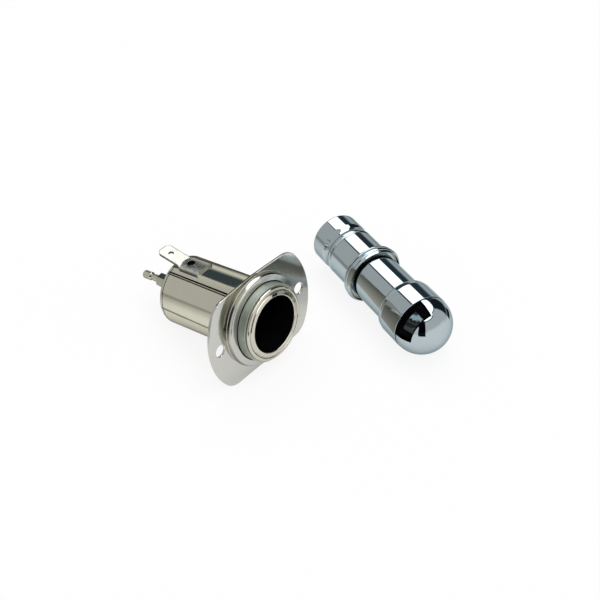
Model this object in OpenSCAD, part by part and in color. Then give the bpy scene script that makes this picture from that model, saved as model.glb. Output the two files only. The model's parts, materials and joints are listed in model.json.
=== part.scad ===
// Car cigarette lighter: a dashboard socket lying on its side and the lighter taken out beside it.
// Both rest on the plane z = 0, with the origin below the middle of their common box.
// Every piece is drawn about its own axis and then laid down.

/* [Socket barrel] */
// Bore of the socket barrel
bore_d = 21.3; // [20.8:0.1:22]
// Wall of the barrel
barrel_wall = 0.7; // [0.5:0.1:1]
// Length of the barrel from its mouth to the back of its floor
barrel_len = 37.5; // [35:0.5:39]
// Thickness of the barrel floor
barrel_floor = 0.8; // [0.6:0.1:1.2]
// Outer diameter of the rolled rim
rim_d = 28; // [27:0.5:29]
// Height of the rolled rim
rim_h = 1.2; // [1:0.1:2]
// Width of the retaining springs' windows in the barrel
window_w = 4.4; // [3:0.2:6]
// Length of the retaining springs' windows
window_len = 7; // [5:0.5:9]
// Distance from the mouth to the middle of the windows
window_depth = 17; // [14:0.5:20]

/* [Spacer ring and flange] */
// Outer diameter of the spacer ring under the rim
ring_d = 29.4; // [28.5:0.2:31]
// Height of the spacer ring
ring_h = 3.5; // [2:0.1:4]
// Length over the round ends of the mounting flange
flange_len = 53; // [50:1:58]
// Width of the flange across its long edges
flange_w = 37.2; // [36.5:0.5:42]
// Slope of each half of a long edge, in degrees
edge_slope = 2; // [0:0.5:4]
// Thickness of the flange sheet
flange_t = 1; // [0.8:0.1:1.6]
// Height of the pressed collar over the flange
collar_h = 2; // [1.5:0.1:3]
// Radius of the collar at its foot
collar_foot_r = 17.4; // [16.5:0.1:18]
// Round of the flange's four corners
ear_round = 8; // [4:0.5:12]
// Diameter of the two screw holes
screw_hole_d = 4.6; // [3.5:0.1:5]
// Distance between the two screw holes
screw_pitch = 43; // [40:0.5:44]

/* [Outer can] */
// Outer diameter of the can
can_d = 26.7; // [26:0.1:27.4]
// Wall of the can
can_wall = 0.8; // [0.6:0.1:1]
// Distance from the mouth to the outside of the can's end
can_end = 45.7; // [44:0.1:50]
// Outer round of the can's closed end
can_round = 1.6; // [1:0.1:4]

/* [Terminals] */
// Width of the ground plate on the can
plate_w = 8.3; // [7:0.1:10]
// Length of the ground plate
plate_len = 11; // [9:0.5:13]
// Distance from the mouth to the ground plate's front
plate_front = 31.4; // [28:0.1:33]
// Angle of the ground plate round the can
plate_angle = 91.5; // [80:0.5:100]
// Thickness of the ground plate and its blade
blade_t = 0.8; // [0.6:0.1:1]
// Width of the blade
blade_w = 6.3; // [4.8:0.1:6.6]
// Length of the blade
blade_len = 10.8; // [8:0.1:12]
// Angle by which the blade is bent away from the can
blade_bend = 14; // [5:1:20]
// Diameter of the latch hole in the blade
latch_hole_d = 1.9; // [1.5:0.1:2.5]
// Diameter of the ground rivet
rivet_d = 3.2; // [2.4:0.1:3.6]
// Diameter of the contact stud
stud_d = 3; // [2.5:0.1:3.5]
// Width over flats of the live terminal's hexagon
hex_af = 5; // [4.5:0.1:6]
// Length of the hexagon
hex_len = 8.1; // [5:0.1:10]
// Diameter of the live terminal's bullet
bullet_d = 3.3; // [3:0.1:4]
// Length of the bullet end, neck and groove and head together
bullet_len = 8.9; // [6:0.1:10]
// Outer diameter of the insulators round the stud
insulator_d = 13; // [11:0.5:15]
// Thickness of the rear insulator
insulator_t = 3; // [2:0.5:4]

/* [Contact clip] */
// Outer diameter of the contact clip over its fingers
clip_d = 18.4; // [17:0.1:19]
// Thickness of the clip's strip
clip_t = 0.5; // [0.4:0.1:0.6]
// Height of the clip's fingers
clip_h = 7.5; // [6:0.5:9]
// Width of each finger
finger_w = 4.2; // [3:0.2:5]

/* [Lighter sleeve] */
// Outer diameter of the sleeve
sleeve_d = 20.7; // [20.3:0.1:20.8]
// Wall of the sleeve
sleeve_wall = 0.5; // [0.4:0.1:0.6]
// Length of the sleeve behind the collar
sleeve_len = 26; // [24:0.5:30]
// Length of the rear drum in front of the sleeve's end
drum_len = 7.4; // [6:0.2:8]
// Length of the rolled groove and bead in front of the drum
roll_len = 6; // [5:0.2:7]
// Depth of the rolled groove
roll_depth = 0.5; // [0.3:0.1:0.7]
// Outer diameter of the collar ring
collar_d = 24.3; // [24:0.1:26]
// Length of the collar ring
collar_len = 4; // [3:0.1:5]
// Depth of the recess in the collar's front
collar_recess = 1.3; // [0.8:0.1:2]

/* [Knob] */
// Outer diameter of the neck tube
neck_d = 19.5; // [19:0.1:19.5]
// Wall of the neck tube
neck_wall = 0.6; // [0.4:0.1:0.8]
// Length of neck between the collar and the head
neck_show = 18.9; // [14:0.1:22]
// How far the neck reaches into the sleeve
neck_in = 5; // [4:0.5:6]
// Outer diameter of the head band
head_d = 23.2; // [22.4:0.1:24]
// Length of the head band with its chamfer
head_len = 12.5; // [10:0.1:14]
// Length of the chamfer at the head's rear
head_chamfer = 2.3; // [1:0.1:3]
// Diameter at the small end of that chamfer
chamfer_d = 21.1; // [20.4:0.1:21.6]
// Outer diameter at the foot of the dome cap
dome_d = 23; // [22:0.1:23.2]
// Height of the dome cap
dome_h = 11.3; // [9:0.1:13]
// Wall of the dome cap
dome_wall = 1; // [0.8:0.1:1.2]
// Length of the window from the seam forward
pane_len = 6.7; // [4:0.1:7.5]
// Angle that the window spans round the dome
pane_span = 83; // [60:1:100]
// Angle of the window's middle round the axis
pane_angle = 139.5; // [0:0.5:180]
// Travel of the knob into the sleeve
knob_travel = 7; // [5:0.5:7.5]
// Turn of the lighter on the surface, seen from above
lighter_turn = -21.4; // [-40:0.2:0]
// Place of the seam on the lighter's axis, along the socket
lighter_x = 35; // [30:0.5:45]
// Place of the seam on the lighter's axis, across the socket
lighter_y = 41.4; // [38:0.1:50]

/* [Heating element] */
// Diameter of the spindle
spindle_d = 3; // [2.5:0.1:3.5]
// Outer diameter of the element cup
cup_d = 16.8; // [15:0.1:17.5]
// Depth of the element cup
cup_h = 3; // [2.6:0.1:3.4]
// Wall of the element cup
cup_wall = 0.5; // [0.4:0.1:0.7]
// Turns of the heating coil
coil_turns = 5; // [3:1:6]
// Thickness of the coil's ribbon
ribbon_t = 0.35; // [0.25:0.05:0.4]
// Height of the coil's ribbon
ribbon_h = 1.6; // [1:0.1:2]
// Wire of the return spring
spring_wire = 0.9; // [0.7:0.1:1.1]
// Outer diameter of the return spring
spring_d = 9; // [7:0.5:12]
// Turns of the return spring
spring_turns = 5; // [4:1:6]

/* [Hidden] */

$fn = 96;
cut = 1;
fit_gap = 0.05;
slide_gap = 0.15;

// Socket, measured back from its mouth
bore_r = bore_d / 2;
barrel_r = bore_r + barrel_wall;
bore_relief = 0.2;
sized_end = window_depth - window_len / 2 - 0.2;
rim_r = rim_d / 2;
ring_back = rim_h + ring_h;
flange_front = ring_back + collar_h;
flange_back = flange_front + flange_t;
flange_bore_r = barrel_r + fit_gap;
can_r = can_d / 2;
can_front = ring_back + flange_t;
can_inner_r = can_r - can_wall;
stud_r = stud_d / 2;
stud_hole_r = stud_r + fit_gap;
neck_bush_r = stud_r + 1.5;
bush_hole_r = neck_bush_r + fit_gap;
insulator_r = insulator_d / 2;
inner_insulator_t = 1.2;
barrel_floor_face = barrel_len - barrel_floor;
washer_t = 0.8;
lock_t = 1.1;
stack_back = can_end + insulator_t + washer_t + lock_t;
hex_r = hex_af / 2 / cos(30);
clip_floor_back = barrel_floor_face - inner_insulator_t;
stud_head_t = 1.2;
rivet_place = plate_front + plate_len * 0.58;
nickel = [0.74, 0.72, 0.66];
chrome = [0.72, 0.75, 0.77];
bakelite = [0.16, 0.12, 0.1];

// The socket rests on one half of a flange edge and on the rear of the can
rest_place = can_end - can_round;
socket_tilt = atan((flange_w / 2 - can_r) / (rest_place - flange_back));
mouth_z = can_r * cos(socket_tilt) + rest_place * sin(socket_tilt);

// Lighter, measured forward from the rear face of its collar
sleeve_r = sleeve_d / 2;
sleeve_bore_r = sleeve_r - sleeve_wall;
drum_front = -sleeve_len + drum_len;
roll_front = drum_front + roll_len;
collar_r = collar_d / 2;
collar_wide = collar_len * 0.42;
neck_r = neck_d / 2;
neck_bore_r = neck_r - neck_wall;
head_r = head_d / 2;
head_back = collar_len + neck_show;
seam_z = head_back + head_len;
seam_gap = 0.2;
dome_r = dome_d / 2;
neck_short = 2;
neck_front = seam_z - neck_short;
spindle_r = spindle_d / 2;
bush_t = 2.4;
bush_back = drum_front;
bush_front = bush_back + bush_t;
spring_play = 1.3;
spring_front = max(-neck_in + 0.5, bush_front + spring_turns * spring_wire + spring_play + knob_travel);
seat_wall = 0.8;
cup_r = cup_d / 2;
cup_back = -sleeve_len + 0.8;
cup_floor = cup_back + cup_h;
ceramic_t = 2;
ceramic_front = cup_floor + ceramic_t;
clip_groove = bush_back - 0.15;

// The lighter rests on its collar and on the front edge of its head
head_rest = 0.4;
lighter_tilt = atan((collar_r - head_r) / (seam_z - head_rest - collar_wide));
seam_height = head_r * cos(lighter_tilt) - head_rest * sin(lighter_tilt);

// Limits of the common box: bullet and flange on the low sides, dome and sleeve on the high sides
bullet_r = bullet_d / 2;
bullet_round = 0.8;
bullet_tip = stack_back + hex_len + bullet_len;
sleeve_lead = 0.7;
along_x = cos(lighter_tilt) * cos(lighter_turn);
along_y = cos(lighter_tilt) * sin(lighter_turn);
low_x = -(bullet_tip - bullet_round) * cos(socket_tilt)
    - (bullet_r - bullet_round) * sin(socket_tilt) - bullet_round;
high_x = lighter_x + sqrt(pow(dome_h * along_x, 2) + pow(dome_r, 2) * (1 - pow(along_x, 2)));
low_y = -flange_len / 2;
high_y = lighter_y - (seam_z + sleeve_len - sleeve_lead) * along_y
    + (sleeve_r - sleeve_lead) * sqrt(1 - pow(along_y, 2)) + sleeve_lead;
mid_x = (low_x + high_x) / 2;
mid_y = (low_y + high_y) / 2;

// An arc's points about a centre, from one angle to another
function arc(cx, cy, r, from, to, steps) =
    [for (i = [0:steps]) let (a = from + (to - from) * i / steps) [cx + r * cos(a), cy + r * sin(a)]];

// Lays a piece of the socket down with its mouth along +X
module lay_socket() {
    translate([-mid_x, -mid_y, mouth_z])
        rotate([0, -socket_tilt, 0])
            rotate([90, 0, 90])
                rotate([0, 0, edge_slope])
                    children();
}

// Lays a piece of the lighter down beside the socket
module lay_lighter() {
    translate([lighter_x - mid_x, lighter_y - mid_y, seam_height])
        rotate([0, lighter_tilt, lighter_turn])
            rotate([90, 0, 90])
                translate([0, 0, -seam_z])
                    children();
}

// A plain tube between two heights
module tube(r_out, r_in, z0, z1) {
    difference() {
        translate([0, 0, z0]) cylinder(h = z1 - z0, r = r_out);
        translate([0, 0, z0 - cut]) cylinder(h = z1 - z0 + 2 * cut, r = r_in);
    }
}

// Drawn steel barrel with a rolled rim and a floor
module socket_barrel() {
    lip = 0.4;
    roll = 0.4;
    land = 0.9;
    roll_meet = 60;
    floor_round = 1.2;
    step = 0.2;
    relief_r = bore_r + bore_relief;
    color(nickel) lay_socket() difference() {
        rotate_extrude() polygon(concat(
            [[relief_r, -barrel_floor_face], [relief_r, -sized_end - step], [bore_r, -sized_end]],
            arc(bore_r + lip, -lip, lip, 180, 90, 8),
            arc(bore_r + lip + land, -rim_h + roll, rim_h - roll, 90, roll_meet, 3),
            arc(rim_r - roll, -rim_h + roll, roll, roll_meet, -90, 8),
            [[barrel_r, -rim_h], [barrel_r, -barrel_len + floor_round]],
            arc(barrel_r - floor_round, -barrel_len + floor_round, floor_round, 0, -90, 5),
            [[bush_hole_r, -barrel_len], [bush_hole_r, -barrel_floor_face]]));
        for (side = [0, 180]) rotate([0, 0, side])
            translate([bore_r - 2, -window_w / 2, -window_depth - window_len / 2])
                cube([4, window_w, window_len]);
    }
}

// Grey ring that spaces the rim from the flange
module spacer_ring() {
    edge = 0.15;
    ring_r = ring_d / 2;
    color([0.62, 0.67, 0.64]) lay_socket() rotate_extrude() polygon([
        [barrel_r + fit_gap, -rim_h], [ring_r - edge, -rim_h], [ring_r, -rim_h - edge],
        [ring_r, -ring_back + edge], [ring_r - edge, -ring_back], [barrel_r + fit_gap, -ring_back]]);
}

// A point turned about the origin
function turned(p, a) = [p.x * cos(a) - p.y * sin(a), p.x * sin(a) + p.y * cos(a)];

// Outline of the flange: round ends, long edges that slope from their middle, rounded corners
module flange_outline() {
    end_r = flange_len / 2;
    corner_y = flange_w / 2 - ear_round;
    corner_x = sqrt(pow(end_r - ear_round, 2) - pow(corner_y, 2));
    meet = atan2(corner_y, corner_x);
    quarter = concat(
        arc(0, 0, end_r, 0, meet - edge_slope, 10),
        [for (p = arc(corner_x, corner_y, ear_round, meet, 90, 8)) turned(p, -edge_slope)],
        [[0, flange_w / 2 / cos(edge_slope)]]);
    last = len(quarter) - 1;
    upper = concat(quarter, [for (i = [last - 1:-1:0]) [-quarter[i].x, quarter[i].y]]);
    polygon(concat(upper, [for (i = [len(upper) - 2:-1:1]) [upper[i].x, -upper[i].y]]));
}

// Stamped flange with a pressed collar round the barrel
module mounting_flange() {
    foot = 0.9;
    crest = 1.6;
    crest_fall = 20;
    crest_r = collar_foot_r - foot - crest * 0.9;
    color([0.7, 0.7, 0.68]) lay_socket() difference() {
        union() {
            difference() {
                translate([0, 0, -flange_back]) linear_extrude(flange_t) flange_outline();
                translate([0, 0, -flange_back - cut])
                    cylinder(h = flange_t + 2 * cut, r = collar_foot_r - foot);
            }
            rotate_extrude() polygon(concat(
                [[flange_bore_r, -ring_back], [crest_r, -ring_back]],
                arc(crest_r, -ring_back - crest, crest, 90, crest_fall, 7),
                [[collar_foot_r - foot * 0.35, -flange_front + 0.12], [collar_foot_r + 0.4, -flange_front]],
                [[collar_foot_r + 0.4, -flange_back], [collar_foot_r - foot - 0.2, -flange_back]],
                arc(crest_r, -ring_back - crest, crest - 0.5 * flange_t, 0, 90, 6),
                [[flange_bore_r, -can_front]]));
        }
        for (x = [-1, 1]) translate([x * screw_pitch / 2, 0, -flange_back - cut])
            cylinder(h = flange_t + 2 * cut, r = screw_hole_d / 2);
    }
}

// Deep-drawn can that clamps the flange from behind
module outer_can() {
    inner_round = can_round - can_wall;
    color(nickel) lay_socket() difference() {
        rotate_extrude() polygon(concat(
            [[can_inner_r, -can_front], [can_r, -can_front]],
            arc(can_r - can_round, -can_end + can_round, can_round, 0, -90, 8),
            [[bush_hole_r, -can_end], [bush_hole_r, -can_end + can_wall]],
            arc(can_inner_r - inner_round, -can_end + can_round, inner_round, -90, 0, 8)));
        rivet_hole();
    }
}

// Part of a tube between two angles round the axis
module tube_sector(r_out, r_in, z0, z1, from, to) {
    translate([0, 0, z0]) rotate([0, 0, from])
        rotate_extrude(angle = to - from) translate([r_in, 0]) square([r_out - r_in, z1 - z0]);
}

// Curved plate on the can with a push-on blade bent from it
module ground_terminal() {
    plate_r = can_r + blade_t;
    half_angle = plate_w / 2 / plate_r * 180 / PI;
    plate_back = plate_front + plate_len;
    hem = 0.5;
    bend_y = can_r + blade_t / 2;
    color([0.78, 0.77, 0.73]) lay_socket() difference() {
        union() {
            tube_sector(plate_r, can_r, -plate_back, -plate_front,
                plate_angle - half_angle, plate_angle + half_angle);
            rotate([0, 0, plate_angle - half_angle]) rotate_extrude(angle = 2 * half_angle)
                translate([can_r + hem, -plate_front]) circle(r = hem, $fn = 24);
            rotate([0, 0, plate_angle - 90]) translate([0, bend_y, -plate_back + 0.6])
                rotate([blade_bend, 0, 0]) translate([0, 0, -blade_len / 2 + 0.8])
                    rotate([90, 0, 0]) linear_extrude(blade_t, center = true) blade_outline();
        }
        rivet_hole();
        rotate([0, 0, plate_angle - 90]) translate([0, bend_y, -plate_back + 0.6])
            rotate([blade_bend, 0, 0]) translate([0, 0, -blade_len * 0.62])
                rotate([90, 0, 0]) cylinder(h = 4, r = latch_hole_d / 2, center = true);
        lay_can_core();
    }
}

// Hole for the ground rivet through plate and can
module rivet_hole() {
    rotate([0, 0, plate_angle - 90]) translate([0, 0, -rivet_place]) rotate([-90, 0, 0])
        cylinder(h = can_r + 3, r = rivet_d / 2 + fit_gap);
}

// The space that the can fills, kept free by the plate
module lay_can_core() {
    translate([0, 0, -can_end]) cylinder(h = can_end, r = can_r);
}

// Flat outline of the blade with chamfered corners
module blade_outline() {
    half = blade_w / 2;
    end = blade_len / 2;
    chamfer = 1.4;
    polygon([[-half, end], [half, end], [half, -end + chamfer], [half - chamfer, -end],
        [-half + chamfer, -end], [-half, -end + chamfer]]);
}

// Tubular rivet through plate and can
module ground_rivet() {
    rivet_r = rivet_d / 2;
    bore = rivet_r - 0.3;
    head = rivet_r + 0.25;
    color(nickel) lay_socket() rotate([0, 0, plate_angle - 90]) translate([0, 0, -rivet_place])
        rotate([-90, 0, 0]) difference() {
            union() {
                translate([0, 0, can_inner_r - 0.5]) cylinder(h = blade_t + can_wall + 0.8, r = rivet_r);
                translate([0, 0, can_r + blade_t]) cylinder(h = 0.3, r1 = head, r2 = head - 0.2);
            }
            translate([0, 0, can_inner_r - cut]) cylinder(h = can_wall + blade_t + 2 * cut, r = bore);
        }
}

// Two leaf springs outside the barrel, each with a crown in its window
module retaining_springs() {
    leaf_t = 0.35;
    leaf_over = 3;
    leaf_len = window_len + 2 * leaf_over;
    leaf_r = barrel_r + 0.1;
    crown_r = sleeve_r + 0.1;
    crown_len = window_len - 2;
    color([0.78, 0.7, 0.5]) lay_socket() for (side = [0, 180]) rotate([0, 0, side]) {
        span = window_w / 2 / leaf_r * 180 / PI + 3;
        tube_sector(leaf_r + leaf_t, leaf_r, -window_depth - leaf_len / 2, -window_depth + leaf_len / 2,
            -span, span);
        inner = window_w / 2 / leaf_r * 180 / PI - 2;
        tube_sector(leaf_r + leaf_t, crown_r, -window_depth - crown_len / 2,
            -window_depth + crown_len / 2, -inner, inner);
    }
}

// Bimetal clip: three sprung fingers that grip the heated cup
module contact_clip() {
    floor_r = clip_d / 2 - 1;
    reach = clip_floor_back - clip_h;
    half_angle = finger_w / 2 / (clip_d / 2) * 180 / PI;
    color([0.72, 0.58, 0.3]) lay_socket() {
        tube(floor_r * 0.62, stud_hole_r, -clip_floor_back, -clip_floor_back + clip_t);
        for (turn = [30, 150, 270]) rotate([0, 0, turn]) {
            translate([stud_r + 2, -finger_w / 2, -clip_floor_back])
                cube([clip_d / 2 - stud_r - 2.3, finger_w, clip_t]);
            tube_sector(clip_d / 2, clip_d / 2 - clip_t, -clip_floor_back, -reach, -half_angle, half_angle);
            tube_sector(clip_d / 2, clip_d / 2 - 0.9, -reach - 1.6, -reach - 0.8,
                -half_angle, half_angle);
        }
    }
}

// Threaded stud that carries the live contact
module contact_stud() {
    head_over = 2;
    head_r = stud_r + head_over;
    head_top = -clip_floor_back + clip_t + stud_head_t;
    short_of_hex = 2;
    tip = stack_back + hex_len - short_of_hex;
    color(nickel) lay_socket() {
        translate([0, 0, -tip]) cylinder(h = tip - clip_floor_back + clip_t + 0.1, r = stud_r);
        translate([0, 0, head_top - stud_head_t]) cylinder(h = stud_head_t, r1 = head_r, r2 = head_r - 0.4);
    }
}

// Insulating washer inside the barrel, with a neck through its floor
module inner_insulator() {
    color(bakelite) lay_socket() {
        tube(insulator_r, stud_hole_r, -barrel_floor_face, -clip_floor_back);
        tube(neck_bush_r, stud_hole_r, -barrel_len, -barrel_floor_face + 0.01);
    }
}

// Steel bush that spaces the barrel from the can's end
module spacer_bush() {
    bush_r = insulator_r + 1.5;
    color([0.6, 0.6, 0.58]) lay_socket()
        tube(bush_r, bush_hole_r, -can_end + can_wall, -barrel_len);
}

// Rear insulator with a neck that passes through the can and the bush
module rear_insulator() {
    back = can_end + insulator_t;
    edge = 0.4;
    color(bakelite) lay_socket() rotate_extrude() polygon([
        [stud_hole_r, -back], [insulator_r - edge, -back], [insulator_r, -back + edge],
        [insulator_r, -can_end], [neck_bush_r, -can_end], [neck_bush_r, -barrel_len - 0.3],
        [stud_hole_r, -barrel_len - 0.3]]);
}

// Plain washer on the rear insulator
module plain_washer() {
    back = can_end + insulator_t + washer_t;
    color(nickel) lay_socket() tube(stud_r + 2.4, stud_hole_r, -back, -back + washer_t);
}

// Split spring washer under the terminal
module lock_washer() {
    split = 0.6;
    color([0.62, 0.62, 0.6]) lay_socket() difference() {
        tube(stud_r + 1.5, stud_hole_r, -stack_back, -stack_back + lock_t);
        translate([0, -split / 2, -stack_back - cut]) cube([insulator_r, split, lock_t + 2 * cut]);
    }
}

// Turned terminal: hexagon, neck, groove and bullet head
module live_terminal() {
    hex_back = stack_back + hex_len;
    neck = bullet_r * 0.86;
    groove = bullet_r * 0.62;
    groove_place = -bullet_tip + bullet_len * 0.52;
    color(nickel) lay_socket() difference() {
        union() {
            intersection() {
                translate([0, 0, -hex_back]) cylinder(h = hex_len, r = hex_r, $fn = 6);
                translate([0, 0, -hex_back]) cylinder(h = hex_len, r1 = hex_r - 0.3, r2 = hex_r + hex_len);
            }
            rotate_extrude() polygon(concat(
                [[0, -bullet_tip]],
                arc(bullet_r - bullet_round, -bullet_tip + bullet_round, bullet_round, -90, 0, 6),
                [[bullet_r, groove_place - 0.6], [groove, groove_place], [groove, groove_place + 0.8],
                    [neck, groove_place + 1.1], [neck, -hex_back + 0.5], [0, -hex_back + 0.5]]));
        }
        translate([0, 0, -hex_back + 1.6]) cylinder(h = hex_len, r = stud_hole_r);
    }
}

// Sleeve with a drum at its rear and a rolled groove and bead
module lighter_sleeve() {
    low_r = sleeve_r - roll_depth;
    bead_r = sleeve_r - 0.05;
    front_r = sleeve_r - 0.03;
    valley = drum_front + roll_len * 0.38;
    crest = drum_front + roll_len * 0.8;
    round_r = sleeve_r - sleeve_lead;
    round_z = -sleeve_len + sleeve_lead;
    lip_r = round_r - 0.4;
    shell_out = concat(
        [[lip_r, -sleeve_len]],
        arc(round_r, round_z, sleeve_lead, -90, 0, 6),
        [[sleeve_r, drum_front - 0.3], [low_r, valley - 0.5], [low_r, valley + 0.5]],
        [[bead_r, crest - 0.4], [bead_r, crest + 0.3], [bead_r - 0.3, roll_front - 0.3]],
        [[bead_r - 0.3, roll_front], [front_r, roll_front + 0.3], [front_r, collar_len - collar_recess]]);
    shell_in = concat(
        [[sleeve_bore_r, collar_len - collar_recess], [sleeve_bore_r, roll_front]],
        [[low_r - sleeve_wall, valley + 0.7], [low_r - sleeve_wall, valley - 0.7]],
        [[sleeve_bore_r, drum_front - 0.3]],
        arc(round_r, round_z, sleeve_lead - sleeve_wall, 0, -90, 4),
        [[lip_r, -sleeve_len + sleeve_wall]]);
    color(chrome) lay_lighter() rotate_extrude() polygon(concat(shell_out, shell_in));
}

// Rounded collar pressed on the sleeve, recessed at its front
module collar_ring() {
    seat_r = sleeve_r + fit_gap;
    recess_r = sleeve_r + 0.65;
    edge = collar_wide;
    front_round = collar_len - collar_wide;
    bulge = collar_r - recess_r - 0.25;
    color(chrome) lay_lighter() rotate_extrude() polygon(concat(
        [[seat_r, 0], [collar_r - edge, 0]],
        arc(collar_r - edge, edge, edge, -90, 0, 8),
        [for (a = [12:12:84]) [recess_r + 0.25 + bulge * cos(a), collar_wide + front_round * sin(a)]],
        [[recess_r + 0.25, collar_len], [recess_r, collar_len - 0.2], [recess_r, collar_len - collar_recess],
            [seat_r, collar_len - collar_recess]]));
}

// Bush held by the rolled groove: it guides the spindle and backs the spring
module guide_bush() {
    bush_r = sleeve_r - roll_depth - sleeve_wall - fit_gap;
    color([0.7, 0.6, 0.36]) lay_lighter() {
        tube(bush_r, spindle_r + slide_gap, bush_back, bush_front);
        tube(spindle_r + 1.3, spindle_r + slide_gap, bush_front - 0.01, bush_front + 1.2);
    }
}

// One ring of the spring's wire section, for the helix below
function helix_ring(turns, r, z0, z1, wire_r, i, per, sides) =
    let (t = i / (turns * per), a = 360 * i / per, z = z0 + (z1 - z0) * t)
    [for (k = [0:sides - 1]) let (b = 360 * k / sides, q = r + wire_r * cos(b))
        [q * cos(a), q * sin(a), z + wire_r * sin(b)]];

// A helical wire swept by rings of points
module helix(turns, r, z0, z1, wire_r, per, sides) {
    rings = turns * per;
    points = [for (i = [0:rings]) each helix_ring(turns, r, z0, z1, wire_r, i, per, sides)];
    faces = concat(
        [[for (k = [0:sides - 1]) k]],
        [for (i = [0:rings - 1], k = [0:sides - 1]) let (n = (k + 1) % sides)
            [i * sides + k, (i + 1) * sides + k, (i + 1) * sides + n, i * sides + n]],
        [[for (k = [sides - 1:-1:0]) rings * sides + k]]);
    polyhedron(points, faces, convexity = 8);
}

// Return spring between the guide bush and the spring seat
module return_spring() {
    wire_r = spring_wire / 2;
    color([0.75, 0.75, 0.72]) lay_lighter()
        helix(spring_turns, spring_d / 2 - wire_r, bush_front + wire_r + 0.1,
            spring_front - wire_r - 0.1, wire_r, 20, 8);
}

// Neck tube between the sleeve and the head
module neck_tube() {
    edge = 0.3;
    color(chrome) lay_lighter() rotate_extrude() polygon([
        [neck_bore_r, -neck_in], [neck_r - edge, -neck_in], [neck_r, -neck_in + edge],
        [neck_r, neck_front], [neck_bore_r, neck_front]]);
}

// Cup in the neck's rear that the spring pushes on
module spring_seat() {
    seat_r = neck_bore_r - fit_gap;
    skirt = 4;
    color([0.7, 0.6, 0.36]) lay_lighter() {
        tube(seat_r, spindle_r + fit_gap, spring_front, spring_front + seat_wall);
        tube(seat_r, seat_r - seat_wall, spring_front, spring_front + skirt);
    }
}

// Head band with a chamfered rear edge
module head_band() {
    fit_r = neck_r + fit_gap;
    chamfer_r = chamfer_d / 2;
    color(chrome) lay_lighter() rotate_extrude() polygon([
        [fit_r, head_back], [chamfer_r - 0.1, head_back], [chamfer_r, head_back + 0.1],
        [head_r, head_back + head_chamfer], [head_r, seam_z - seam_gap - 0.15],
        [head_r - 0.15, seam_z - seam_gap], [dome_r - dome_wall - 1, seam_z - seam_gap],
        [dome_r - dome_wall - 1, neck_front], [fit_r, neck_front]]);
}

// Radius of the dome at a height over the seam
function dome_at(z, r, h) = r * sqrt(max(0, 1 - pow(z / h, 2)));

// Sector of the dome that the window takes
module pane_sector(grow) {
    rotate([0, 0, pane_angle - pane_span / 2 - grow])
        rotate_extrude(angle = pane_span + 2 * grow)
            translate([dome_r * 0.2, -1]) square([dome_r, pane_len + 1]);
}

// Hollow dome with a window cut from its seam
module dome_cap() {
    inner_r = dome_r - dome_wall;
    inner_h = dome_h - dome_wall;
    steps = 24;
    color(chrome) lay_lighter() translate([0, 0, seam_z]) difference() {
        rotate_extrude() polygon(concat(
            [for (i = [0:steps]) let (a = 90 * i / steps) [dome_r * cos(a), dome_h * sin(a)]],
            [for (i = [steps:-1:0]) let (a = 90 * i / steps) [inner_r * cos(a), inner_h * sin(a)]],
            [[inner_r, -seam_gap], [dome_r - 0.3, -seam_gap], [dome_r, -seam_gap + 0.15]]));
        pane_sector(0);
    }
}

// Black insert that fills the dome behind the window
module window_insert() {
    gap = 0.1;
    outer_r = dome_r - dome_wall - gap;
    outer_h = dome_h - dome_wall - gap;
    top = pane_len + 2;
    steps = 14;
    last = asin(top / outer_h);
    stem_r = neck_bore_r - 0.1;
    stem_len = 3;
    stem_back = neck_front - seam_z - stem_len;
    hole_play = 2;
    hole_r = spindle_r + hole_play;
    lens_in = 0.8;
    color([0.05, 0.05, 0.055]) lay_lighter() translate([0, 0, seam_z]) difference() {
        rotate_extrude() polygon(concat(
            [[hole_r, top], [hole_r, stem_back], [stem_r, stem_back], [stem_r, -seam_gap]],
            [for (i = [0:steps]) let (a = last * i / steps) [outer_r * cos(a), outer_h * sin(a)]]));
        lens_space(lens_in, 0.05);
    }
}

// Space of the small lens in the insert
module lens_space(depth, gap) {
    outer_r = dome_r - dome_wall - 0.1;
    outer_h = dome_h - dome_wall - 0.1;
    low = 1.9;
    high = pane_len - 1.1;
    steps = 6;
    span = pane_span * 0.52;
    rotate([0, 0, pane_angle - span / 2 - gap * 5]) rotate_extrude(angle = span + gap * 10)
        polygon(concat(
            [for (i = [0:steps]) let (z = low - gap + (high - low + 2 * gap) * i / steps)
                [dome_at(z, outer_r, outer_h) + 0.02 + (gap > 0 ? 0.5 : 0), z]],
            [for (i = [steps:-1:0]) let (z = low - gap + (high - low + 2 * gap) * i / steps)
                [dome_at(z, outer_r, outer_h) - depth + (gap > 0 ? 0 : 0.05), z]]));
}

// Smoked lens set in the insert
module window_lens() {
    color([0.3, 0.33, 0.35]) lay_lighter() translate([0, 0, seam_z]) lens_space(0.8, 0);
}

// Spindle from the insert to the element
module spindle() {
    stop_r = spindle_r + 1.9;
    stop_t = 1.6;
    stop_back = spring_front + seat_wall;
    past_seam = 2;
    front = seam_z + past_seam;
    color([0.66, 0.66, 0.64]) lay_lighter() {
        translate([0, 0, ceramic_front]) cylinder(h = front - ceramic_front, r = spindle_r);
        tube(stop_r, spindle_r - 0.01, stop_back, stop_back + stop_t);
    }
}

// Clip behind the guide bush that stops the spindle
module spindle_clip() {
    reach = 2.1;
    thick = 0.8;
    color([0.4, 0.4, 0.4]) lay_lighter()
        tube(spindle_r + reach, spindle_r + 0.02, clip_groove - thick, clip_groove);
}

// Ceramic that keeps the heat from the spindle
module ceramic_insulator() {
    disc_t = ceramic_t / 2;
    disc_r = cup_r * 0.62;
    color([0.88, 0.86, 0.8]) lay_lighter() {
        translate([0, 0, cup_floor]) cylinder(h = disc_t, r = disc_r);
        translate([0, 0, cup_floor + disc_t]) cylinder(h = disc_t, r1 = disc_r, r2 = spindle_r * 2);
    }
}

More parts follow.
